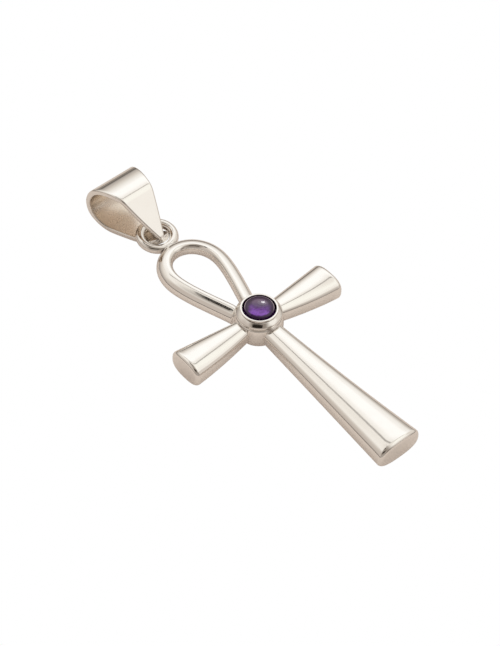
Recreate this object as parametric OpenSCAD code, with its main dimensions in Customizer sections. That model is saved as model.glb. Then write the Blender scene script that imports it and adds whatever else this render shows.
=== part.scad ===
// Ankh pendant with a set cabochon and a loose tapered bail, lying on its back.
// All lengths are millimetres. The origin is the middle of the hub's flat back,
// +X runs along the arms, +Y from the stem to the bail and +Z up through the stone.

/* [Stone] */
// Diameter of the round cabochon
stone_d = 4; // [3:0.1:5]
// Height of the stone's straight girdle
stone_girdle_h = 0.5; // [0.3:0.05:0.8]
// Height of the dome above the girdle
stone_dome_h = 1; // [0.6:0.05:1.6]
// Clearance round and under the stone in its cup
stone_gap = 0.05; // [0.02:0.01:0.1]

/* [Bezel and hub] */
// Thickness of the bezel's wall
bezel_wall = 0.22; // [0.15:0.01:0.4]
// Height of the bezel above the hub
bezel_h = 1.05; // [0.8:0.05:1.4]
// Diameter of the hub
hub_d = 5.9; // [5.2:0.1:7]
// Height of the hub without its bezel
hub_h = 3.6; // [3.5:0.1:4.4]
// Rounding of the hub's back edge
hub_back_round = 1.4; // [0.4:0.1:1.6]
// Rounding of the hub's front edge
hub_front_round = 0.6; // [0.4:0.1:1.2]
// Height of the rounded collar round the bezel
collar_h = 0.8; // [0.5:0.05:0.9]
// How far the collar stands back from the hub's side
collar_step = 0.2; // [0.1:0.05:0.3]

/* [Arms] */
// Length over both arms
arm_span = 22.8; // [18:0.2:30]
// Width of an arm at its flat end
arm_end_w = 5; // [3.5:0.1:6.5]
// Thickness of an arm at its flat end
arm_end_t = 3.5; // [3:0.1:4]
// Width of an arm at its root in the hub
arm_root_w = 2.2; // [1.6:0.1:3]
// Thickness of an arm at its root in the hub
arm_root_t = 2.35; // [1.8:0.1:2.6]
// Height of the arm's underside at its root
arm_root_lift = 1.05; // [0.3:0.05:1.1]
// How soon the arm widens, where 1 is a straight taper
arm_flare = 1.4; // [0.6:0.1:1.6]

/* [Stem] */
// Length of the stem from the middle of the hub
stem_l = 24.4; // [18:0.2:32]
// Width of the stem at its flat end
stem_end_w = 6.3; // [4.5:0.1:8]
// Thickness of the stem at its flat end
stem_end_t = 3.5; // [3:0.1:4]
// Width of the stem at its root in the hub
stem_root_w = 2.8; // [2:0.1:3.6]
// Thickness of the stem at its root in the hub
stem_root_t = 2.45; // [1.8:0.1:2.7]
// Height of the stem's underside at its root
stem_root_lift = 0.85; // [0.3:0.05:1.1]
// How soon the stem widens, where 1 is a straight taper
stem_flare = 0.8; // [0.6:0.1:1.6]

/* [Limb ends] */
// Softened edge round each flat end
end_round = 0.35; // [0.1:0.05:0.4]
// Squareness of the limbs' section, where 2 is an ellipse
limb_squareness = 2.6; // [2:0.1:3.5]

/* [Loop] */
// Width over the loop
loop_w = 9.05; // [7.5:0.1:12]
// Distance from the middle of the hub to the top of the loop
loop_top_y = 16.9; // [14:0.1:22]
// Distance from the middle of the hub to the loop's widest place
loop_wide_y = 11.8; // [10.5:0.1:13]
// Width of the loop's rod
rod_w = 1.85; // [1.5:0.05:2.2]
// Thickness of the loop's rod
rod_t = 2.25; // [1.8:0.05:2.6]
// Height of the rod's underside
rod_lift = 0.2; // [0.05:0.05:0.4]
// Squareness of the rod's section, where 2 is an ellipse
rod_squareness = 2.1; // [2:0.1:3.5]

/* [Ring] */
// Outer diameter of the ring on the loop
ring_od = 5.4; // [4.8:0.1:6]
// How far the ring sinks into the top of the loop
ring_bite = 0.08; // [0.04:0.01:0.2]
// Thickness of the ring's wire
ring_wire = 1.1; // [0.8:0.05:1.1]
// Height of the ring's middle
ring_mid_z = 1.3; // [1.2:0.05:1.6]
// Lift of the ring's far side
ring_tilt = 6; // [4:0.5:10]
// Width of the soldered joint between the ring and the loop
solder_w = 2.6; // [1.6:0.1:3]

/* [Bail] */
// Length of the bail from its tip to the far side of its barrel
bail_l = 10.3; // [8.8:0.1:11]
// Height of the bail over its barrel
bail_h = 7; // [6.6:0.1:8.4]
// Width of the bail at its barrel
bail_w = 7.3; // [5:0.1:9]
// Width of the bail at its tip
bail_tip_w = 1.1; // [0.8:0.1:1.8]
// Thickness of the bail's sheet
bail_sheet = 0.75; // [0.55:0.05:0.8]
// Height of the tip's upper face
bail_tip_z = 2.7; // [2.2:0.1:3]
// Distance of the tip past the middle of the ring, towards the loop
bail_tip_reach = 1.3; // [0.4:0.1:1.3]
// Bend between the bail's flat leaf and its barrel
bail_fold = 29; // [0:1:35]
// Turn of the bail on the ring, seen from the front
bail_turn = 3; // [-12:0.5:12]
// How far the bail lies aside on the ring
bail_aside = -0.2; // [-0.2:0.1:0.2]

/* [Hidden] */
silver = [0.87, 0.86, 0.83];
amethyst = [0.36, 0.18, 0.62];
round_steps = 48;
oval_points = 20;
limb_steps = 12;
loop_steps = 10;
bail_steps = 14;
edge_steps = 3;
overlap = 0.2;
root_gap = 0.075;

cup_r = stone_d / 2 + stone_gap;
collar_r = max(hub_d / 2 - collar_step, cup_r + bezel_wall + 0.1);
collar_top = hub_h + min(collar_h, bezel_h - bezel_wall);
limb_root = hub_d / 4;
ring_r = (ring_od - ring_wire) / 2;
ring_y = loop_top_y + ring_od / 2 - ring_bite;

// Unit step from one point to another
function unit(v) = v / norm(v);

// A cubic curve from p0 to p3 with handles p1 and p2, in the given number of steps
function curve(p0, p1, p2, p3, steps) = [
    for (i = [0:steps]) let (t = i / steps, s = 1 - t)
        s * s * s * p0 + 3 * s * s * t * p1 + 3 * s * t * t * p2 + t * t * t * p3
];

// A list without its first item
function tail(list) = [for (i = [1:len(list) - 1]) list[i]];

// Direction of a path at its point i
function heading(path, i) =
    unit(path[min(i + 1, len(path) - 1)] - path[max(i - 1, 0)]);

// Points moved sideways from a path, to the left of its direction
function beside(path, d) = [
    for (i = [0:len(path) - 1]) let (h = heading(path, i))
        path[i] + d * [-h.y, h.x]
];

// Rounded section w wide and t thick whose underside is at height lift
function oval(w, t, lift, squareness) = [
    for (i = [0:oval_points - 1])
        let (a = 360 * i / oval_points, p = 2 / squareness)
            [w / 2 * sign(cos(a)) * pow(abs(cos(a)), p),
             lift + t / 2 * (1 + sign(sin(a)) * pow(abs(sin(a)), p))]
];

// Closed solid through a list of rings with equal numbers of points
module skin(rings) {
    n = len(rings[0]);
    last = len(rings) - 1;
    points = [for (r = rings) each r];
    walls = [
        for (k = [0:last - 1], i = [0:n - 1])
            let (j = (i + 1) % n, a = k * n, b = a + n)
                each [[a + i, b + i, b + j], [a + i, b + j, a + j]]
    ];
    polyhedron(points, concat(
        [[for (i = [0:n - 1]) i]],
        walls,
        [[for (i = [n - 1:-1:0]) last * n + i]]
    ), convexity = 4);
}

// One arm or the stem, from inside the hub out along +X to its flat end
module limb(reach, root_w, root_t, root_lift, end_w, end_t, flare) {
    function section(u, inset) = oval(
        root_w + (end_w - root_w) * (flare * u + (1 - flare) * u * u) - 2 * inset,
        root_t + (end_t - root_t) * u - 2 * inset,
        root_lift * pow(1 - u, 1.5) + inset,
        limb_squareness);
    function ring(x, inset) = [
        for (p = section(min(1, (x - limb_root) / (reach - limb_root)), inset))
            [x, p.x, p.y]
    ];
    body_end = reach - end_round;
    skin(concat(
        [for (k = [0:limb_steps])
            ring(limb_root + (body_end - limb_root) * k / limb_steps, 0)],
        [for (k = [1:edge_steps]) let (a = 90 * k / edge_steps)
            ring(body_end + end_round * sin(a), end_round * (1 - cos(a)))]
    ));
}

module arms() {
    for (side = [0, 180])
        rotate([0, 0, side])
            limb(arm_span / 2, arm_root_w, arm_root_t, arm_root_lift,
                 arm_end_w, arm_end_t, arm_flare);
}

module stem() {
    rotate([0, 0, -90])
        limb(stem_l, stem_root_w, stem_root_t, stem_root_lift,
             stem_end_w, stem_end_t, stem_flare);
}

// The loop's path from inside the hub, round the right flank and over the top to
// the left flank's root
function loop_path() =
    let (
        half_w = (loop_w - rod_w) / 2,
        top = [0, loop_top_y - rod_w / 2],
        root = [rod_w / 2 + root_gap, 0.27 * hub_d],
        wide = [half_w, loop_wide_y],
        rise = wide.y - root.y,
        crown = top.y - wide.y,
        right = concat(
            curve(root, root + [-0.02 * half_w, 0.136 * rise],
                  wide - [0, 0.29 * rise], wide, loop_steps),
            tail(curve(wide, wide + [0, 0.634 * crown],
                       top + [0.513 * half_w, 0], top, loop_steps))
        )
    )
    concat(right, [for (i = [len(right) - 2:-1:0]) [-right[i].x, right[i].y]]);

// The loop: one rod of rounded section that starts and ends inside the hub
module loop() {
    path = loop_path();
    skin([
        for (i = [0:len(path) - 1]) let (h = heading(path, i))
            [for (p = oval(rod_w, rod_t, rod_lift, rod_squareness))
                [path[i].x - h.y * p.x, path[i].y + h.x * p.x, p.y]]
    ]);
}

// Hub with both edges rounded and its back flat on the ground
module hub() {
    r = hub_d / 2;
    rotate_extrude($fn = round_steps) {
        square([r - hub_back_round, hub_h - hub_front_round]);
        square([r - hub_front_round, hub_h]);
        translate([0, hub_back_round])
            square([r, hub_h - hub_back_round - hub_front_round]);
        intersection() {
            translate([r - hub_back_round, hub_back_round])
                circle(hub_back_round, $fn = round_steps);
            square([r, hub_h]);
        }
        translate([r - hub_front_round, hub_h - hub_front_round])
            circle(hub_front_round, $fn = round_steps);
    }
}

// Rounded collar that stands on the hub and holds the foot of the bezel
module collar() {
    low = [collar_r, hub_h - hub_front_round / 2];
    high = [cup_r + bezel_wall / 2, collar_top];
    rotate_extrude($fn = round_steps)
        polygon(concat([[high.x, low.y]],
            curve(low, low + [0, 0.75 * (high.y - low.y)], high + [0.55 * (low.x - high.x), 0],
                  high, 2 * edge_steps)));
}

// Thin wall round the stone, with a rounded rim, standing on the hub
module bezel() {
    rotate_extrude($fn = round_steps) {
        translate([cup_r, hub_h - overlap])
            square([bezel_wall, bezel_h + overlap - bezel_wall / 2]);
        translate([cup_r + bezel_wall / 2, hub_h + bezel_h - bezel_wall / 2])
            circle(d = bezel_wall, $fn = round_steps / 4);
    }
}

// Round wire ring beyond the top of the loop, its far side a little raised
module ring() {
    translate([0, ring_y, ring_mid_z])
        rotate([ring_tilt, 0, 0])
            rotate_extrude($fn = round_steps)
                translate([ring_r, 0])
                    circle(d = ring_wire, $fn = round_steps / 3);
}

// Solder that fills the joint between the ring and the loop
module solder() {
    depth = 0.3 * rod_w;
    height = 0.7 * ring_wire;
    near_z = ring_mid_z - ring_r * sin(ring_tilt);
    translate([0, loop_top_y - depth / 4, near_z - height / 2])
        linear_extrude(height) {
            square([solder_w - depth, depth], center = true);
            for (side = [-1, 1])
                translate([side * (solder_w - depth) / 2, 0])
                    circle(d = depth, $fn = round_steps / 3);
        }
}

module ankh() {
    color(silver) {
        arms();
        stem();
        loop();
        hub();
        collar();
        bezel();
        ring();
        solder();
    }
}

// Low cabochon with a straight girdle, a domed top and a flat base
module stone() {
    r = stone_d / 2;
    ball_r = (r * r + stone_dome_h * stone_dome_h) / (2 * stone_dome_h);
    color(amethyst)
        translate([0, 0, hub_h + stone_gap])
            intersection() {
                cylinder(r = r, h = stone_girdle_h + stone_dome_h, $fn = round_steps);
                translate([0, 0, stone_girdle_h + stone_dome_h - ball_r])
                    sphere(ball_r, $fn = round_steps);
            }
}

// Side outline of the bail from its tip over the flat front leaf, round the barrel
// and back along the ground; x is the distance from the tip and y the height
function bail_outline() =
    let (
        tip = [0, bail_tip_z],
        leaf_end = [0.405 * bail_l, 0.94 * bail_h],
        lean = atan2(leaf_end.y - tip.y, leaf_end.x) - bail_fold,
        barrel_dir = [cos(lean), sin(lean)],
        far = [bail_l, 0.51 * bail_h],
        rest = [0.62 * bail_l, 0],
        lift_off = [0.25 * bail_l, 0],
        back_tip = [0.03 * bail_l, bail_tip_z - 2 * bail_sheet]
    )
    concat(
        [for (k = [0:4]) tip + (leaf_end - tip) * pow(k / 4, 1.5)],
        tail(curve(leaf_end, leaf_end + 0.56 * bail_h * barrel_dir, far + [0, 0.32 * bail_h],
                   far, bail_steps)),
        tail(curve(far, far - [0, 0.29 * bail_h], rest + [0.2 * bail_l, 0], rest,
                   bail_steps)),
        tail(curve(rest, rest - [0.1 * bail_l, 0], lift_off + [0.02 * bail_l, 0], lift_off,
                   3)),
        tail(curve(lift_off, lift_off - [0.08 * bail_l, 0], back_tip + [0.05 * bail_l, -0.7 * bail_sheet],
                   back_tip, 5))
    );

// Half the bail's width at a distance from its tip
function bail_half_w(y) =
    let (r = bail_tip_w / 2)
    y < r ? sqrt(r * r - (r - y) * (r - y))
          : r + (bail_w / 2 - r) * (1 - pow(1 - (y - r) / (bail_l - r), 1.6));

// Folded strip seen from the side, with the space that the ring hangs in
module bail_band() {
    outer = bail_outline();
    inner = beside(outer, -bail_sheet);
    first = 1;
    last = len(outer) - 3;
    difference() {
        polygon(outer);
        polygon([for (i = [first:last]) inner[i]]);
    }
}

// The strip's taper seen from the front
module bail_plan() {
    rows = [for (i = [0:3 * bail_steps]) bail_l * pow(i / (3 * bail_steps), 1.6)];
    polygon(concat(
        [for (y = rows) [bail_half_w(y), y]],
        [for (i = [len(rows) - 1:-1:0]) [-bail_half_w(rows[i]), rows[i]]]
    ));
}

module bail() {
    color(silver)
        translate([0, ring_y, 0])
            rotate([0, 0, bail_turn])
                translate([bail_aside, -bail_tip_reach, 0])
                    intersection() {
                        translate([-bail_w, 0, 0])
                            rotate([90, 0, 90])
                                linear_extrude(2 * bail_w) bail_band();
                        linear_extrude(2 * bail_h, center = true) bail_plan();
                    }
}

ankh();
stone();
bail();
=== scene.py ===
import math

import bpy
import numpy as np
from mathutils import Matrix, Vector


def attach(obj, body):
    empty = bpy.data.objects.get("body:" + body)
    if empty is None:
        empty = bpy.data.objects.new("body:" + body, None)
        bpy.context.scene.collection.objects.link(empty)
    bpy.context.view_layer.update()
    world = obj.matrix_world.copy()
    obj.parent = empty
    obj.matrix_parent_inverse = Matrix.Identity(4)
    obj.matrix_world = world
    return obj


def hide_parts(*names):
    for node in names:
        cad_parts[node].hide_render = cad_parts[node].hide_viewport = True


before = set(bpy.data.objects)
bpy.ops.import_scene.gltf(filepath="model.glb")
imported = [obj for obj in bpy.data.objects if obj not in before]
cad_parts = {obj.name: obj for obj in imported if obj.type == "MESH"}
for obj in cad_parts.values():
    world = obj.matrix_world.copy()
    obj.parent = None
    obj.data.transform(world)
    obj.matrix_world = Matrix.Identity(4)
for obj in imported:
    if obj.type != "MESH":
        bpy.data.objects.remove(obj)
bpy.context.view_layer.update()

MM = 0.001

# Sizes in millimetres, close to those of the solids
ARM_REACH, ARM_ROOT_W, ARM_END_W = 11.4, 2.2, 5.0
ARM_ROOT_T, ARM_END_T, ARM_LIFT, ARM_FLARE = 2.35, 3.5, 1.05, 1.4
STEM_REACH, STEM_ROOT_W, STEM_END_W = 24.4, 2.8, 6.3
STEM_ROOT_T, STEM_END_T, STEM_LIFT, STEM_FLARE = 2.45, 3.5, 0.85, 0.8
LIMB_ROOT, END_ROUND, LIMB_SQUARENESS = 1.475, 0.55, 2.6
LOOP_HALF_W, LOOP_TOP, LOOP_WIDE = 3.6, 15.975, 11.8
LOOP_ROOT_GAP, LOOP_ROOT_Y = 0.075, 0.54 * 2.95
ROD_W, ROD_T, ROD_LIFT = 1.85, 2.25, 0.2
ROD_INNER_SIDE, ROD_TOP = -0.971, 2.525
HUB_R, HUB_H, HUB_BACK_ROUND = 2.98, 3.6, 1.8
HUB_AXIS_R = 0.02
CUP_R, BEZEL_WALL, RIM_Z, RIM_ROUND = 2.05, 0.24, 4.65, 0.05
SHOULDER_R, SHOULDER_BOTTOM, SHOULDER_TOP, SHOULDER_Y = 2.78, 0.5, 3.0, 0.72
RING_Y, RING_Z, RING_R, WIRE_R, RING_TILT = 19.50, 1.31, 2.13, 0.58, math.radians(6)
SOLDER_HALF_L, SOLDER_Y, SOLDER_Z, SOLDER_BEND = 1.25, 16.92, 1.28, 0.10
STONE_R, STONE_BASE, GIRDLE_H, DOME_H = 2.0, 3.65, 0.5, 0.9
DOME_R, DOME_EDGE_R = 5.2, 1.70
BAIL_SHEET, BAIL_EDGE, BAIL_TIP_ROUND, BAIL_TONGUE_ROUND = 0.75, 0.25, 0.40, 1.48
BAIL_START, BAIL_LEAN, BAIL_ASIDE, BAIL_TURN = (18.28, 2.02), 88.0, -0.43, math.radians(2.9)
BAIL_EYE_Y, BAIL_EYE_Z = 24.3, 3.1


def bezier(p0, p1, p2, p3, steps):
    """Points of a cubic curve in the plane."""
    t = np.linspace(0.0, 1.0, steps + 1)[:, None]
    s = 1.0 - t
    a, b, c, d = [np.array(p, float) for p in (p0, p1, p2, p3)]
    return s**3 * a + 3 * s * s * t * b + 3 * s * t * t * c + t**3 * d


def evenly(path, count):
    """The same path again with its points evenly spaced."""
    gaps = np.linalg.norm(np.diff(path, axis=0), axis=1)
    along = np.concatenate([[0.0], np.cumsum(gaps)])
    at = np.linspace(0.0, along[-1], count)
    return np.stack([np.interp(at, along, path[:, k]) for k in range(path.shape[1])], axis=1)


def headings(path):
    """Unit steps along a path."""
    step = np.gradient(path, axis=0)
    return step / np.linalg.norm(step, axis=1)[:, None]


def oval(width, thickness, lift, points, squareness):
    """A rounded section: across, and height above the ground."""
    a = np.linspace(0.0, 2 * math.pi, points, endpoint=False)
    power = 2.0 / squareness
    across = width / 2 * np.sign(np.cos(a)) * np.abs(np.cos(a)) ** power
    height = thickness / 2 * np.sign(np.sin(a)) * np.abs(np.sin(a)) ** power
    return across, lift + thickness / 2 + height


def mesh_piece(name, points, faces):
    """An object from points in millimetres."""
    mesh = bpy.data.meshes.new(name)
    mesh.from_pydata((np.asarray(points) * MM).tolist(), [], faces)
    mesh.validate()
    piece = bpy.data.objects.new(name, mesh)
    bpy.context.scene.collection.objects.link(piece)
    return piece


def lofted(name, rings):
    """A skin through rings of points, capped at both ends."""
    rings = [np.asarray(r, float) for r in rings]
    n, m = len(rings[0]), len(rings)
    faces = []
    for k in range(m - 1):
        a, b = k * n, (k + 1) * n
        faces += [(a + i, a + (i + 1) % n, b + (i + 1) % n, b + i) for i in range(n)]
    faces.append(tuple(range(n - 1, -1, -1)))
    faces.append(tuple((m - 1) * n + i for i in range(n)))
    return mesh_piece(name, np.concatenate(rings), faces)


def turned(name, profile, steps, closed=False):
    """A piece turned on the upright axis from a profile of radius and height."""
    rings = []
    for a in np.linspace(0.0, 2 * math.pi, steps, endpoint=False):
        rings.append([(r * math.cos(a), r * math.sin(a), z) for r, z in profile])
    n, m = len(profile), steps
    faces = []
    for k in range(m):
        a, b = k * n, ((k + 1) % m) * n
        last = n if closed else n - 1
        faces += [(a + i, b + i, b + (i + 1) % n, a + (i + 1) % n) for i in range(last)]
    if not closed:
        faces.append(tuple(k * n for k in range(m - 1, -1, -1)))
        faces.append(tuple(k * n + n - 1 for k in range(m)))
    return mesh_piece(name, np.concatenate([np.array(r) for r in rings]), faces)


def arc(middle, radius, start, end, steps):
    """Points of an arc in a profile, its angles in degrees."""
    a = np.radians(np.linspace(start, end, steps + 1))
    return [(middle[0] + radius * math.cos(t), middle[1] + radius * math.sin(t)) for t in a]


def limb(name, reach, root_w, root_t, lift, end_w, end_t, flare, turn):
    """One arm or the stem, which widens out of the hub to a flat end with soft edges."""
    points, body_rings, end_rings = 160, 36, 12
    body_end = reach - END_ROUND

    def section(x, inset):
        u = min(1.0, (x - LIMB_ROOT) / (reach - LIMB_ROOT))
        width = root_w + (end_w - root_w) * (flare * u + (1 - flare) * u * u) - 2 * inset
        thickness = root_t + (end_t - root_t) * u - 2 * inset
        underside = lift * (1 - u) ** 1.5 + inset
        across, height = oval(width, thickness, underside, points, LIMB_SQUARENESS)
        return np.stack([np.full(points, x), across, height], axis=1)

    rings = [section(x, 0.0) for x in np.linspace(LIMB_ROOT, body_end, body_rings)]
    for a in np.radians(np.linspace(90.0 / end_rings, 90.0, end_rings)):
        rings.append(section(body_end + END_ROUND * math.sin(a), END_ROUND * (1 - math.cos(a))))
    c, s = math.cos(turn), math.sin(turn)
    spin = np.array([[c, -s, 0], [s, c, 0], [0, 0, 1]])
    return lofted(name, [r @ spin.T for r in rings])


def rod_section(points):
    """Section of the loop's rod: round, with a tight shoulder at the top of its inner side."""
    # Each run: lean of the surface at its start and end in degrees, and its radius in millimetres
    runs = ((90, 50, 1.0), (50, 0, 0.42), (0, -22, 1.8),
            (-22, -90, 1.25), (-90, -180, 0.854), (-180, -270, 1.144))
    lean = 90 - np.arange(points) * 360.0 / points
    radius = np.select([(lean <= start) & (lean > end) for start, end, _ in runs],
                       [r for _, _, r in runs])
    for _ in range(3):
        radius = (np.roll(radius, 1) + 2 * radius + np.roll(radius, -1)) / 4
    turn = np.radians(lean - 180.0 / points)
    heading = np.stack([-np.cos(turn), np.sin(turn)], axis=1)
    step = heading * radius[:, None] * math.radians(360.0 / points)
    step -= step.mean(axis=0)
    outline = np.concatenate([[[0.0, 0.0]], np.cumsum(step, axis=0)[:-1]])
    outline -= outline[:, 0].min(), 0.0
    return outline[:, 0] + ROD_INNER_SIDE, outline[:, 1] - outline[:, 1].max() + ROD_TOP


def loop_piece():
    """The loop's rod, from inside the hub round over the top and back."""
    curve_steps, path_points, rod_points, roundness = 60, 280, 144, 2.0
    round_until, full_after = 2.0, 1.5
    root = (ROD_W / 2 + LOOP_ROOT_GAP, LOOP_ROOT_Y)
    rise, crown = LOOP_WIDE - root[1], LOOP_TOP - LOOP_WIDE
    side = bezier(root, (root[0] - 0.02 * LOOP_HALF_W, root[1] + 0.136 * rise),
                  (LOOP_HALF_W, LOOP_WIDE - 0.29 * rise), (LOOP_HALF_W, LOOP_WIDE), curve_steps)
    top = bezier((LOOP_HALF_W, LOOP_WIDE), (LOOP_HALF_W, LOOP_WIDE + 0.634 * crown),
                 (0.513 * LOOP_HALF_W, LOOP_TOP), (0.0, LOOP_TOP), curve_steps)
    right = np.concatenate([side, top[1:]])
    path = evenly(np.concatenate([right, (right * [-1, 1])[-2::-1]]), path_points)
    round_rod = oval(ROD_W, ROD_T, ROD_LIFT, rod_points, roundness)
    full_rod = rod_section(rod_points)
    rings = []
    for p, h in zip(path, headings(path)):
        share = min(1.0, max(0.0, (p[1] - round_until) / full_after))
        across, height = [(1 - share) * r + share * f for r, f in zip(round_rod, full_rod)]
        rings.append(np.stack([p[0] - h[1] * across, p[1] + h[0] * across, height], axis=1))
    return lofted("loop", rings)


def hub_piece():
    """The drum, the rounded collar on it and the thin bezel wall on top."""
    # Points of the turned profile are a radius and a height
    rim_r = CUP_R + BEZEL_WALL
    back = arc((HUB_R - HUB_BACK_ROUND, HUB_BACK_ROUND), HUB_BACK_ROUND, -90, 0, 24)
    drum = bezier((HUB_R, 2.2), (HUB_R, 2.9), (HUB_R - 0.06, 3.34), (2.76, 3.50), 14).tolist()
    collar = bezier((2.72, 3.55), (2.84, 3.72), (2.83, 3.93), (2.72, 4.03), 14).tolist()
    cone = bezier((2.66, 4.085), (2.54, 4.20), (2.44, 4.27), (rim_r + 0.03, 4.36), 12).tolist()
    groove = [(rim_r - 0.06, 4.38), (rim_r - 0.06, 4.44), (rim_r, 4.47)]
    rim = arc((rim_r - RIM_ROUND, RIM_Z - RIM_ROUND), RIM_ROUND, 0, 84, 5)
    rim += arc((CUP_R + RIM_ROUND, RIM_Z - RIM_ROUND), RIM_ROUND, 96, 180, 5)
    cup = [(CUP_R, HUB_H), (HUB_AXIS_R, HUB_H)]
    profile = [(HUB_AXIS_R, 0.0)] + back + drum + collar + cone + groove + rim + cup
    return turned("hub", [tuple(p) for p in profile], 192)


def shoulder_piece():
    """The swelling of the casting where the loop's two roots run into the hub."""
    low = bezier((1.4, SHOULDER_BOTTOM), (2.3, SHOULDER_BOTTOM),
                 (SHOULDER_R, 1.0), (SHOULDER_R, 1.7), 12)
    high = bezier((SHOULDER_R, 2.0), (SHOULDER_R, 2.6), (2.5, 2.95), (1.9, SHOULDER_TOP), 12)
    profile = [(HUB_AXIS_R, SHOULDER_BOTTOM), *low.tolist(), *high.tolist(),
               (HUB_AXIS_R, SHOULDER_TOP)]
    piece = turned("shoulder", [tuple(p) for p in profile], 160)
    piece.data.transform(Matrix.Translation(Vector((0, SHOULDER_Y, 0)) * MM))
    return piece


def ring_piece():
    """The wire ring, its far side a little raised."""
    profile = arc((RING_R, 0.0), WIRE_R, 0, 360, 56)[:-1]
    piece = turned("ring", profile, 180, closed=True)
    shift = Matrix.Translation(Vector((0, RING_Y, RING_Z)) * MM)
    piece.data.transform(shift @ Matrix.Rotation(RING_TILT, 4, "X"))
    return piece


def solder_piece():
    """The little saddle of solder that joins the ring to the top of the loop."""
    stations, points = 41, 40
    a = np.linspace(0, 2 * math.pi, points, endpoint=False)
    rings = []
    for x in np.linspace(-SOLDER_HALF_L, SOLDER_HALF_L, stations):
        fullness = max(0.0, 1.0 - (x / SOLDER_HALF_L) ** 2)
        y = SOLDER_Y - SOLDER_BEND * x * x + (0.06 + 0.32 * fullness) * np.cos(a)
        z = SOLDER_Z + (0.10 + 0.47 * fullness) * np.sin(a)
        rings.append(np.stack([np.full(points, x), y, z], axis=1))
    return lofted("solder", rings)


def united(name, pieces):
    """The pieces joined into one closed skin."""
    whole = pieces[0]
    whole.name = name
    for other in pieces[1:]:
        cut = whole.modifiers.new("join", "BOOLEAN")
        cut.operation = "UNION"
        cut.solver = "MANIFOLD"
        cut.object = other
        bpy.context.view_layer.objects.active = whole
        bpy.ops.object.modifier_apply(modifier=cut.name)
        bpy.data.objects.remove(other)
    return whole


def smoothed(piece, crease=32.0):
    """Smooth shading, with sharp lines where faces meet at more than the crease angle."""
    mesh = piece.data
    mesh.shade_smooth()
    mesh.set_sharp_from_angle(angle=math.radians(crease))
    return piece


def bent_strip(start, lean, bends, spacing=0.05):
    """The middle line of a bent strip of sheet: each bend is a length and a turn downwards."""
    point, angle = np.array(start, float), math.radians(lean)
    path, lengths = [point.copy()], [0.0]
    for length, turn in bends:
        steps = max(2, round(length / spacing))
        for _ in range(steps):
            angle -= math.radians(turn) / steps / 2
            point = point + length / steps * np.array([math.cos(angle), math.sin(angle)])
            angle -= math.radians(turn) / steps / 2
            path.append(point.copy())
            lengths.append(lengths[-1] + length / steps)
    return np.array(path), np.array(lengths)


def sheet_section(half, sheet, edge):
    """Section of a flat strip with its corners broken by a small rounding."""
    corner_steps, face_steps, side_steps = 8, 22, 4
    right, top = half - edge, sheet / 2 - edge
    section = []
    for cx, cy, start, step in ((right, top, 0, (-1, 0)), (-right, top, 90, (0, -1)),
                                (-right, -top, 180, (1, 0)), (right, -top, 270, (0, 1))):
        section += arc((cx, cy), edge, start, start + 90, corner_steps)
        run, count = (2 * right, face_steps) if step[0] else (sheet - 2 * edge, side_steps)
        last = section[-1]
        section += [(last[0] + step[0] * run * k / count, last[1] + step[1] * run * k / count)
                    for k in range(1, count)]
    return np.array(section)


# Each bend of the bail's strip from its tip: its length, and how far it turns in degrees
BAIL_BENDS = [
    (0.5, 44.3), (5.45, 0), (0.8, 35.1), (3.15, 28.9), (5.16, 104.7),
    (3.51, 56.3), (3.75, 0), (1.2, 31), (1.74, 0),
]


def strip_half_width(at, total):
    """Half the strip's width at a length along it: narrow at the tip, wide over the barrel."""
    taper, swell, back_leaf_from = 12.87, 1.5, 12.9
    tip_half, barrel_half = 0.50, 3.64
    front_from, back_past_end, back_below = 0.5, 1.78, 0.32
    front = min(1.0, max(0.0, (at - front_from) / taper))
    back = min(1.0, max(0.0, (total + back_past_end - at) / taper))
    if at < back_leaf_from:
        half = tip_half + (barrel_half - tip_half) * (1 - (1 - front) ** swell)
    else:
        full = (barrel_half + back_below) * (1 - (1 - back) ** swell)
        half = max(BAIL_TONGUE_ROUND, full - back_below)
    for away, radius in ((at, BAIL_TIP_ROUND), (total - at, BAIL_TONGUE_ROUND)):
        if away < radius:
            half = min(half, math.sqrt(radius**2 - (radius - away) ** 2))
    return half


def bail_piece():
    """The folded strip: a straight front leaf, a round barrel and a back leaf with a tongue."""
    above_floor, station_gap, end_stations = 0.01, 0.06, 18
    tip_share_ends, tongue_share_from, tip_aside, tongue_aside = 6.0, 15.0, 0.06, 0.50
    path, length = bent_strip(BAIL_START, BAIL_LEAN, BAIL_BENDS)
    path[:, 1] += BAIL_SHEET / 2 + above_floor - path[:, 1].min()
    total = length[-1]
    quarter = np.radians(np.linspace(4.0, 90.0, end_stations))
    leaves_end = total - BAIL_TONGUE_ROUND - station_gap / 2
    stations = np.concatenate([
        BAIL_TIP_ROUND * (1 - np.cos(quarter)),
        np.arange(BAIL_TIP_ROUND + station_gap, leaves_end, station_gap),
        total - BAIL_TONGUE_ROUND * (1 - np.cos(quarter[::-1]))])
    step = headings(path)
    rings = []
    for at in stations:
        p = [np.interp(at, length, path[:, k]) for k in (0, 1)]
        h = np.array([np.interp(at, length, step[:, k]) for k in (0, 1)])
        h = h / np.linalg.norm(h)
        near_tip = max(0.0, 1 - at / tip_share_ends)
        near_tongue = min(1.0, max(0.0, (at - tongue_share_from) / (total - tongue_share_from)))
        aside = BAIL_ASIDE + tip_aside * near_tip**2 + tongue_aside * near_tongue
        half = max(strip_half_width(at, total), BAIL_EDGE + 0.02)
        section = sheet_section(half, BAIL_SHEET, BAIL_EDGE)
        ring = np.stack([section[:, 0] + aside, p[0] - h[1] * section[:, 1],
                         p[1] + h[0] * section[:, 1]], axis=1)
        rings.append(ring[::-1])
    piece = lofted("bail_strip", rings)
    pivot = Vector((0, RING_Y, 0)) * MM
    spin = Matrix.Rotation(BAIL_TURN, 4, "Z")
    piece.data.transform(Matrix.Translation(pivot) @ spin @ Matrix.Translation(-pivot))
    return piece


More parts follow.
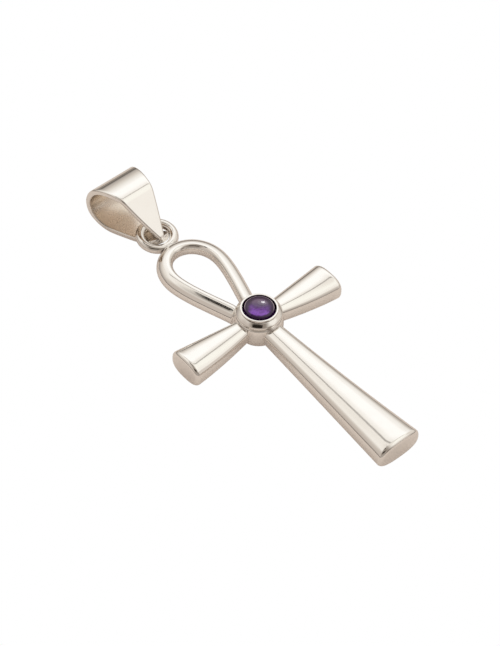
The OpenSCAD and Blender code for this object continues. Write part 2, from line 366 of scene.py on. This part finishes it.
def inside_of_strip(piece):
    """For each face of the bail, whether it looks into the eye of the folded strip."""
    middle = np.array([BAIL_ASIDE, BAIL_EYE_Y, BAIL_EYE_Z]) * MM
    inner = []
    for face in piece.data.polygons:
        out = np.array(face.normal)
        is_side = abs(out[0]) >= 0.5
        inner.append(not is_side and float(out @ (middle - np.array(face.center))) > 0)
    return inner


def stone_piece():
    """The buff-topped stone: a low dome, a tight shoulder and a steep side down to the girdle."""
    # Points of the turned profile are a radius and a height
    top = STONE_BASE + GIRDLE_H + DOME_H
    lean = math.degrees(math.asin(DOME_EDGE_R / DOME_R))
    edge_z = top - DOME_R * (1 - math.cos(math.radians(lean)))
    girdle = [(0.01, STONE_BASE), (STONE_R - 0.05, STONE_BASE), (STONE_R, STONE_BASE + 0.05),
              (STONE_R, STONE_BASE + 0.30)]
    side = bezier((STONE_R, STONE_BASE + 0.35), (1.97, 4.20),
                  (1.86, 4.45), (1.80, edge_z - 0.12), 14)
    shoulder = bezier((1.798, edge_z - 0.115), (1.78, edge_z - 0.06), (1.75, edge_z - 0.018),
                      (1.71, edge_z - 0.004), 10)
    dome = arc((0.0, top - DOME_R), DOME_R, 90 - lean, 89.9, 40)
    profile = girdle + side.tolist() + shoulder.tolist() + dome
    return turned("amethyst_cabochon", [tuple(p) for p in profile], 160)


def photo_camera():
    """The camera at the photograph's angle, its up direction rolled a little as there."""
    azimuth, elevation, roll = math.radians(-42.05), math.radians(47.97), math.radians(2.28)
    target = Vector((0.361, 1.930, 0.0)) * MM
    distance = 204.4 * MM
    back = Vector((math.sin(azimuth) * math.cos(elevation),
                   -math.cos(azimuth) * math.cos(elevation), math.sin(elevation)))
    level = Vector((math.cos(azimuth), math.sin(azimuth), 0.0))
    upward = back.cross(level)
    right = math.cos(roll) * level + math.sin(roll) * upward
    up = -math.sin(roll) * level + math.cos(roll) * upward
    data = bpy.data.cameras.new("photo_camera")
    data.sensor_fit = "HORIZONTAL"
    data.sensor_width = 36.0
    data.lens = 122.15
    data.clip_start = 0.01
    data.clip_end = 10.0
    camera = bpy.data.objects.new("photo_camera", data)
    camera.matrix_world = Matrix((
        (right.x, up.x, back.x, 0), (right.y, up.y, back.y, 0),
        (right.z, up.z, back.z, 0), (0, 0, 0, 1)))
    camera.location = target + distance * back
    bpy.context.scene.collection.objects.link(camera)
    bpy.context.scene.camera = camera


def add_node(tree, kind, settings=None, inputs=None):
    """A node with its settings, and its inputs given as values or as sockets to link."""
    node = tree.nodes.new(kind)
    for key, value in (settings or {}).items():
        setattr(node, key, value)
    for key, value in (inputs or {}).items():
        if isinstance(value, bpy.types.NodeSocket):
            tree.links.new(value, node.inputs[key])
        else:
            node.inputs[key].default_value = value
    return node


def maths(tree, operation, first, second=0.0, third=0.0):
    """The result of one sum, its numbers given as values or sockets."""
    return add_node(tree, "ShaderNodeMath", {"operation": operation},
                    {0: first, 1: second, 2: third}).outputs[0]


def remapped(tree, value, low, high, out_low=0.0, out_high=1.0):
    """A value spread softly from one span onto another, held at its ends."""
    return add_node(tree, "ShaderNodeMapRange", {"interpolation_type": "SMOOTHSTEP"},
                    {"Value": value, "From Min": low, "From Max": high,
                     "To Min": out_low, "To Max": out_high}).outputs["Result"]


def mixed(tree, share, first, second):
    """Two colours mixed by a share."""
    node = add_node(tree, "ShaderNodeMix", {"data_type": "RGBA"}, {0: share})
    for slot, colour in ((6, first), (7, second)):
        if isinstance(colour, bpy.types.NodeSocket):
            tree.links.new(colour, node.inputs[slot])
        else:
            node.inputs[slot].default_value = (*colour, 1)
    return node.outputs[2]


def node_group(name, sockets_in, sockets_out):
    """An empty shader group with its named inputs and outputs."""
    group = bpy.data.node_groups.new(name, "ShaderNodeTree")
    for label, kind, value in sockets_in:
        socket = group.interface.new_socket(name=label, in_out="INPUT", socket_type=kind)
        if value is not None:
            socket.default_value = value
    for label, kind in sockets_out:
        group.interface.new_socket(name=label, in_out="OUTPUT", socket_type=kind)
    return group, group.nodes.new("NodeGroupInput"), group.nodes.new("NodeGroupOutput")


def polish_marks():
    """Faint ripples and hairline marks that a buffing wheel leaves."""
    ripples, hairlines, hazes = 320.0, 900.0, 700.0
    group, given, made = node_group("polish_marks", [
        ("Place", "NodeSocketVector", None), ("Ripple Size", "NodeSocketFloat", 1.0),
        ("Hairline Size", "NodeSocketFloat", 1.0)],
        [("Ripple", "NodeSocketFloat"), ("Hairlines", "NodeSocketFloat"),
         ("Haze", "NodeSocketFloat")])

    def noise(place, per_metre, size, detail, roughness):
        return add_node(group, "ShaderNodeTexNoise", None, {
            "Vector": place, "Scale": maths(group, "DIVIDE", per_metre, given.outputs[size]),
            "Detail": detail, "Roughness": roughness}).outputs["Fac"]

    ripple = noise(given.outputs["Place"], ripples, "Ripple Size", 2.0, 0.45)
    stretched = add_node(group, "ShaderNodeMapping", None, {
        "Vector": given.outputs["Place"], "Rotation": (0.3, 0.2, 0.9), "Scale": (1.0, 14.0, 6.0)})
    hairline = noise(stretched.outputs[0], hairlines, "Hairline Size", 3.0, 0.6)
    haze = noise(given.outputs["Place"], hazes, "Ripple Size", 4.0, 0.6)
    group.links.new(ripple, made.inputs["Ripple"])
    group.links.new(remapped(group, hairline, 0.52, 0.72), made.inputs["Hairlines"])
    group.links.new(remapped(group, haze, 0.35, 0.75), made.inputs["Haze"])
    return group


def new_material(name):
    """A material with its node tree and the shader in it."""
    material = bpy.data.materials.new(name)
    material.use_nodes = True
    return material, material.node_tree, material.node_tree.nodes["Principled BSDF"]


POLISHED_LIGHT, POLISHED_DULL = (0.960, 0.935, 0.900), (0.930, 0.895, 0.850)
# Tones of the faces inside the bail's fold, darker and warmer than the polished outside
INSIDE_LIGHT, INSIDE_DULL = (0.87, 0.79, 0.70), (0.80, 0.71, 0.61)
# Painted shade inside the bail's fold, and where along y it sets in and is full
INSIDE_FOLD_SHADE = (0.44, 0.36, 0.29)
# Painted shade in crevices: its colour, how far the occlusion looks, and the occlusion at which it
# is full and gone
PAINTED_CREVICE_SHADE, CREVICE_SHADE_REACH, CREVICE_SHADE_DEEP, CREVICE_SHADE_NONE = (0.12, 0.08, 0.06), 0.7 * MM, 0.40, 0.72
FOLD_SHADE_FROM_Y, FOLD_SHADE_FULL_Y = 22.5 * MM, 19.0 * MM


def silver_finish(name, marks, ripple_size, bump, gloss, light=POLISHED_LIGHT, dull=POLISHED_DULL,
                  fold_shade=None):
    """Sterling silver with its warm tone, polishing haze and hairlines, with painted shade in its
    crevices and, if given, painted shade darkening it along y.
    """
    material, tree, shader = new_material(name)
    haze_dulls, haze_roughens, hairline_roughens, hairline_depth = 0.35, 0.035, 0.05, -0.02
    place = add_node(tree, "ShaderNodeTexCoord").outputs["Object"]
    worn = add_node(tree, "ShaderNodeGroup", {"node_tree": marks}, {
        "Place": place, "Ripple Size": ripple_size, "Hairline Size": 1.0})
    tone = mixed(tree, maths(tree, "MULTIPLY", worn.outputs["Haze"], haze_dulls), light, dull)
    # Painted shade: inside the fold the colour darkens towards its ring end
    if fold_shade:
        along = add_node(tree, "ShaderNodeSeparateXYZ", None, {0: place}).outputs["Y"]
        tone = mixed(tree, remapped(tree, along, FOLD_SHADE_FROM_Y, FOLD_SHADE_FULL_Y), tone, fold_shade)
    # Painted shade: the colour goes dark where ambient occlusion finds other surfaces close by
    crevice_occlusion = add_node(tree, "ShaderNodeAmbientOcclusion", {"samples": 6, "only_local": True},
                      {"Distance": CREVICE_SHADE_REACH})
    unshaded_share = remapped(tree, crevice_occlusion.outputs["AO"], CREVICE_SHADE_DEEP, CREVICE_SHADE_NONE)
    tone = mixed(tree, unshaded_share, PAINTED_CREVICE_SHADE, tone)
    tree.links.new(tone, shader.inputs["Base Color"])
    rough = maths(tree, "ADD", maths(tree, "MULTIPLY", worn.outputs["Haze"], haze_roughens),
                  maths(tree, "MULTIPLY_ADD", worn.outputs["Hairlines"], hairline_roughens, gloss))
    tree.links.new(rough, shader.inputs["Roughness"])
    height = maths(tree, "MULTIPLY_ADD", worn.outputs["Hairlines"], hairline_depth,
                   worn.outputs["Ripple"])
    relief = add_node(tree, "ShaderNodeBump", None, {
        "Strength": bump, "Distance": 0.2 * MM, "Height": height})
    tree.links.new(relief.outputs["Normal"], shader.inputs["Normal"])
    shader.inputs["Metallic"].default_value = 1.0
    return material


STONE_DEEP, STONE_VEIL = (0.04, 0.006, 0.06), (0.08, 0.014, 0.12)
# Painted light in the stone's colour: glow and sheen, side and rim shade, and an edge reflection
STONE_PAINTED_GLOW, STONE_PAINTED_SHEEN = (0.42, 0.15, 0.92), (0.24, 0.13, 0.25)
STONE_SIDE_SHADE, STONE_RIM_SHADE = (0.035, 0.008, 0.045), (0.030, 0.003, 0.060)
STONE_EDGE_REFLECTION = (0.62, 0.52, 0.57)
# The side of the stone where the painted glow gathers, as a direction in the plane
STONE_FRONT_X, STONE_FRONT_Y = -0.67, -0.743


def violet_stone(marks):
    """Violet cabochon with fine veils, its colour holding painted light: a glow gathered inside
    its front, a sheen, shade darkening it to its sides and rim, and a thin edge reflection.
    """
    material, tree, shader = new_material("violet_stone")
    place = add_node(tree, "ShaderNodeTexCoord").outputs["Object"]
    parts = add_node(tree, "ShaderNodeSeparateXYZ", None, {0: place})
    x, y = parts.outputs["X"], parts.outputs["Y"]

    def both(first, second):
        return maths(tree, "MULTIPLY", first, second)

    def spread(value, low, high, out_low=0.0, out_high=1.0):
        """As remapped, with the span given in millimetres."""
        return remapped(tree, value, low * MM, high * MM, out_low, out_high)

    radius = maths(tree, "SQRT", maths(tree, "ADD", both(x, x), both(y, y)))
    forward = maths(tree, "ADD", both(x, STONE_FRONT_X), both(y, STONE_FRONT_Y))
    veil = add_node(tree, "ShaderNodeTexNoise", None, {
        "Vector": place, "Scale": 1300.0, "Detail": 4.0,
        "Roughness": 0.6, "Distortion": 0.8}).outputs["Fac"]
    # Painted glow: light gathered inside the front of the stone, painted into its colour
    glow = both(spread(forward, -0.7, 1.2), spread(radius, 1.68, 1.38))
    glow = both(glow, spread(radius, 0.2, 1.2, 0.35, 1.0))
    glow = both(glow, remapped(tree, veil, 0.3, 0.65, 0.4, 1.0))
    # Painted sheen: a pale patch on the back half of the dome
    painted_sheen = both(both(spread(forward, 0.0, -0.8), spread(radius, 1.6, 0.8)), 0.5)
    # Painted shade: darker towards the dome's edge, except at its front
    side_shade = both(spread(radius, 0.9, 1.55), spread(forward, 1.2, 0.4))
    # Painted reflection: a thin pale ring near the edge, faded at the front
    edge_reflection = both(spread(radius, 1.67, 1.71), spread(radius, 1.80, 1.76))
    edge_reflection = both(edge_reflection, spread(forward, 0.9, -0.4, 0.0, 0.95))
    tone = mixed(tree, remapped(tree, veil, 0.3, 0.7), STONE_DEEP, STONE_VEIL)
    # Painted shade also darkens the rim, from 1.42 to 1.68 mm out
    for share, colour in ((glow, STONE_PAINTED_GLOW), (painted_sheen, STONE_PAINTED_SHEEN), (side_shade, STONE_SIDE_SHADE),
                          (spread(radius, 1.42, 1.68), STONE_RIM_SHADE), (edge_reflection, STONE_EDGE_REFLECTION)):
        tone = mixed(tree, share, tone, colour)
    tree.links.new(tone, shader.inputs["Base Color"])
    worn = add_node(tree, "ShaderNodeGroup", {"node_tree": marks}, {
        "Place": place, "Ripple Size": 0.8, "Hairline Size": 0.7})
    rough = maths(tree, "MULTIPLY_ADD", worn.outputs["Haze"], 0.05, 0.06)
    tree.links.new(rough, shader.inputs["Roughness"])
    shader.inputs["IOR"].default_value = 1.55
    return material


def soft_card():
    """The share of a rectangular card seen along a direction, its edges softened."""
    group, given, made = node_group("soft_card", [
        ("Look", "NodeSocketVector", None), ("Facing", "NodeSocketVector", None),
        ("Across", "NodeSocketVector", None), ("Upright", "NodeSocketVector", None),
        ("Half Width", "NodeSocketFloat", 0.3), ("Half Height", "NodeSocketFloat", 0.3),
        ("Softness", "NodeSocketFloat", 0.1)],
        [("Share", "NodeSocketFloat")])

    def along(axis):
        return add_node(group, "ShaderNodeVectorMath", {"operation": "DOT_PRODUCT"},
                        {0: given.outputs["Look"], 1: given.outputs[axis]}).outputs["Value"]

    least_depth, full_depth = 0.02, 0.12
    depth = along("Facing")
    safe = maths(group, "MAXIMUM", depth, least_depth)
    share = remapped(group, depth, least_depth, full_depth)
    for axis, half in (("Across", "Half Width"), ("Upright", "Half Height")):
        offset = maths(group, "ABSOLUTE", maths(group, "DIVIDE", along(axis), safe))
        inner = maths(group, "SUBTRACT", given.outputs[half], given.outputs["Softness"])
        outer = maths(group, "ADD", given.outputs[half], given.outputs["Softness"])
        share = maths(group, "MULTIPLY", share, remapped(group, offset, outer, inner))
    group.links.new(share, made.inputs["Share"])
    return group


def compass(azimuth, height):
    """The direction at a compass angle from +Y towards +X and a height, in degrees."""
    a, e = math.radians(azimuth), math.radians(height)
    return Vector((math.sin(a) * math.cos(e), math.cos(a) * math.cos(e), math.sin(e)))


# Each card: compass angle, height, roll, half width, half height, softness, colour; last in front
CARDS = [
    (-88, 28, 0, 34, 24, 0.30, (0.55, 0.49, 0.44)),
    (95, 34, 0, 30, 26, 0.35, (0.76, 0.71, 0.65)),
    (140, 42, 0, 14, 14, 0.12, (0.94, 0.91, 0.86)),
    (108, 58, 0, 22, 9, 0.08, (1.00, 0.99, 0.93)),
    (148, 12, 0, 10, 12, 0.12, (0.68, 0.62, 0.57)),
    (174, 16, 0, 9, 20, 0.12, (0.24, 0.20, 0.175)),
    (-140, 46, 0, 32, 29, 0.25, (0.28, 0.24, 0.205)),
    (-90, 76, 0, 20, 18, 0.20, (0.34, 0.30, 0.26)),
    (62, 34, 0, 14, 13, 0.12, (0.84, 0.82, 0.78)),
    (38, 43, 0, 27, 13, 0.20, (0.98, 0.965, 0.935)),
    (46, 46, 0, 15, 6.5, 0.06, (1.07, 1.065, 1.05)),
    (44, 61.2, 0, 24, 1.6, 0.02, (0.38, 0.355, 0.33)),
    (32, 8.5, 0, 22, 3.6, 0.04, (0.14, 0.125, 0.11)),
    (-88, 3, 0, 40, 2.2, 0.02, (0.12, 0.10, 0.09)),
    (-20, 69.2, 0, 11.5, 1.7, 0.015, (0.015, 0.012, 0.010)),
    (-63, 77.6, 17, 8, 3.0, 0.03, (0.04, 0.03, 0.025)),
    (-132, 49.5, 0, 18, 9.5, 0.03, (0.018, 0.014, 0.011)),
]

# The tent behind the cards: share of the way up from the horizon, and colour
TENT = [
    (0.0, (0.30, 0.265, 0.235)), (0.05, (0.33, 0.295, 0.265)), (0.14, (0.46, 0.42, 0.385)),
    (0.28, (0.66, 0.61, 0.55)), (0.44, (0.80, 0.76, 0.70)), (0.58, (0.92, 0.89, 0.84)),
    (0.8, (0.86, 0.82, 0.76)), (1.0, (0.74, 0.69, 0.62)),
]


def studio():
    """The light: a pale tent with soft cards all round, pure white to the eye."""
    world = bpy.data.worlds.new("studio")
    bpy.context.scene.world = world
    world.use_nodes = True
    tree = world.node_tree
    background = tree.nodes["Background"]
    look = add_node(tree, "ShaderNodeTexCoord").outputs["Generated"]
    rise = add_node(tree, "ShaderNodeSeparateXYZ", None, {0: look}).outputs["Z"]
    height = maths(tree, "DIVIDE", maths(tree, "ARCSINE", rise), math.pi / 2)
    tent = add_node(tree, "ShaderNodeValToRGB", None, {"Fac": height})
    ramp = tent.color_ramp
    ramp.interpolation = "EASE"
    while len(ramp.elements) < len(TENT):
        ramp.elements.new(0.5)
    for stop, (at, colour) in zip(ramp.elements, TENT):
        stop.position = at
        stop.color = (*colour, 1)
    colour = tent.outputs["Color"]
    group = soft_card()
    for azimuth, up, roll, half_w, half_h, soft, tone in CARDS:
        facing = compass(azimuth, up)
        spin = Matrix.Rotation(math.radians(roll), 3, facing)
        across, upright = spin @ compass(azimuth + 90, 0), spin @ compass(azimuth, up + 90)
        card = add_node(tree, "ShaderNodeGroup", {"node_tree": group}, {
            "Look": look, "Facing": facing, "Across": across, "Upright": upright,
            "Half Width": math.tan(math.radians(half_w)),
            "Half Height": math.tan(math.radians(half_h)), "Softness": soft})
        colour = mixed(tree, card.outputs["Share"], colour, tone)
    seen = add_node(tree, "ShaderNodeLightPath").outputs["Is Camera Ray"]
    tree.links.new(mixed(tree, seen, colour, (1, 1, 1)), background.inputs["Color"])
    bpy.context.scene.view_settings.view_transform = "Standard"


# Each lamp of the stone: name, compass angle, height, size in metres, brightness
STONE_LAMPS = [
    ("stone_spark", 50, 35, 0.032, 13.0),
    ("stone_halo", 48, 37, 0.09, 0.8),
    ("stone_glow", 44, 39, 0.16, 0.6),
]
LAMP_AWAY = 0.3


def stone_lamps(stone):
    """A small round lamp with two wider, dimmer ones round it, which shine on the stone alone."""
    receivers = bpy.data.collections.new("lit_stone")
    receivers.objects.link(stone)
    for name, azimuth, up, size, radiance in STONE_LAMPS:
        data = bpy.data.lights.new(name, "AREA")
        data.shape = "DISK"
        data.size = size
        data.energy = radiance * math.pi * math.pi / 4 * size**2
        lamp = bpy.data.objects.new(name, data)
        toward = compass(azimuth, up)
        lamp.location = toward * LAMP_AWAY
        lamp.rotation_mode = "QUATERNION"
        lamp.rotation_quaternion = toward.to_track_quat("Z", "Y")
        lamp.visible_camera = False
        bpy.context.scene.collection.objects.link(lamp)
        lamp.light_linking.receiver_collection = receivers


# Paper tones, the painted shade it darkens to far from the pendant, and the radii in metres
# between which it does
PAPER_LIGHT, PAPER_WARM, PAPER_FAR_SHADE = (0.82, 0.75, 0.705), (0.86, 0.79, 0.745), (0.30, 0.26, 0.23)
PAPER_NEAR_R, PAPER_FAR_R = 0.045, 0.11


def pale_floor():
    """The plain white sweep: pure white to the eye, warm paper to the silver above it, with
    painted shade further out and a faint painted glow.
    """
    mesh = bpy.data.meshes.new("floor")
    side, down = 1.0, -0.01 * MM
    corners = [(-side, -side, down), (side, -side, down), (side, side, down), (-side, side, down)]
    mesh.from_pydata(corners, [], [(0, 1, 2, 3)])
    floor = bpy.data.objects.new("floor", mesh)
    bpy.context.scene.collection.objects.link(floor)
    material, tree, paper = new_material("pale_floor")
    paper.inputs["Roughness"].default_value = 0.9
    paper.inputs["Specular IOR Level"].default_value = 0.1
    place = add_node(tree, "ShaderNodeTexCoord").outputs["Object"]
    away = add_node(tree, "ShaderNodeVectorMath", {"operation": "LENGTH"},
                    {0: place}).outputs["Value"]
    grain = add_node(tree, "ShaderNodeTexNoise", None,
                     {"Vector": place, "Scale": 60.0, "Detail": 3.0})
    near = mixed(tree, grain.outputs["Fac"], PAPER_LIGHT, PAPER_WARM)
    # Painted shade: the paper darkens further from the pendant
    tone = mixed(tree, remapped(tree, away, PAPER_NEAR_R, PAPER_FAR_R), near, PAPER_FAR_SHADE)
    tree.links.new(tone, paper.inputs["Base Color"])
    # The paper also glows faintly in its own tone: painted light that lifts it and its shade
    tree.links.new(tone, paper.inputs["Emission Color"])
    paper.inputs["Emission Strength"].default_value = 0.15
    white = add_node(tree, "ShaderNodeEmission", None, {"Color": (1, 1, 1, 1), "Strength": 1.0})
    seen = add_node(tree, "ShaderNodeLightPath").outputs["Is Camera Ray"]
    sweep = add_node(tree, "ShaderNodeMixShader", None, {
        0: seen, 1: paper.outputs[0], 2: white.outputs[0]})
    tree.links.new(sweep.outputs[0], tree.nodes["Material Output"].inputs["Surface"])
    mesh.materials.append(material)


photo_camera()
arm = ARM_REACH, ARM_ROOT_W, ARM_ROOT_T, ARM_LIFT, ARM_END_W, ARM_END_T, ARM_FLARE
stem = STEM_REACH, STEM_ROOT_W, STEM_ROOT_T, STEM_LIFT, STEM_END_W, STEM_END_T, STEM_FLARE
parts = [
    limb("arm_right", *arm, 0.0),
    limb("arm_left", *arm, math.pi),
    limb("stem", *stem, -math.pi / 2),
    loop_piece(),
    hub_piece(),
    shoulder_piece(),
    ring_piece(),
    solder_piece(),
]
ankh = smoothed(united("ankh_silver", parts))
stone = smoothed(stone_piece())
bail = smoothed(bail_piece(), crease=40.0)

marks = polish_marks()
finishes = {
    ankh: silver_finish("cast_silver", marks, ripple_size=1.0, bump=0.04, gloss=0.065),
    bail: silver_finish("rolled_silver", marks, ripple_size=1.4, bump=0.03, gloss=0.075),
    stone: violet_stone(marks),
}
for piece, material in finishes.items():
    faces = piece.data.polygons
    piece.data.materials.clear()
    piece.data.materials.append(material)
    faces.foreach_set("material_index", np.zeros(len(faces), dtype=np.int32))
# The faces inside the fold: rougher, and darkened by painted shade towards the ring end
bail.data.materials.append(silver_finish(
    "unpolished_inside_painted_shade", marks, ripple_size=1.0, bump=0.03, gloss=0.26,
    light=INSIDE_LIGHT, dull=INSIDE_DULL, fold_shade=INSIDE_FOLD_SHADE))
for face, inner in zip(bail.data.polygons, inside_of_strip(bail)):
    face.material_index = int(inner)
for piece, node, slot in ((ankh, "ankh", "silver"), (stone, "stone", "stone"),
                          (bail, "bail", "silver_bail")):
    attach(piece, "root")
    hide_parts(node)
studio()
stone_lamps(stone)
pale_floor()
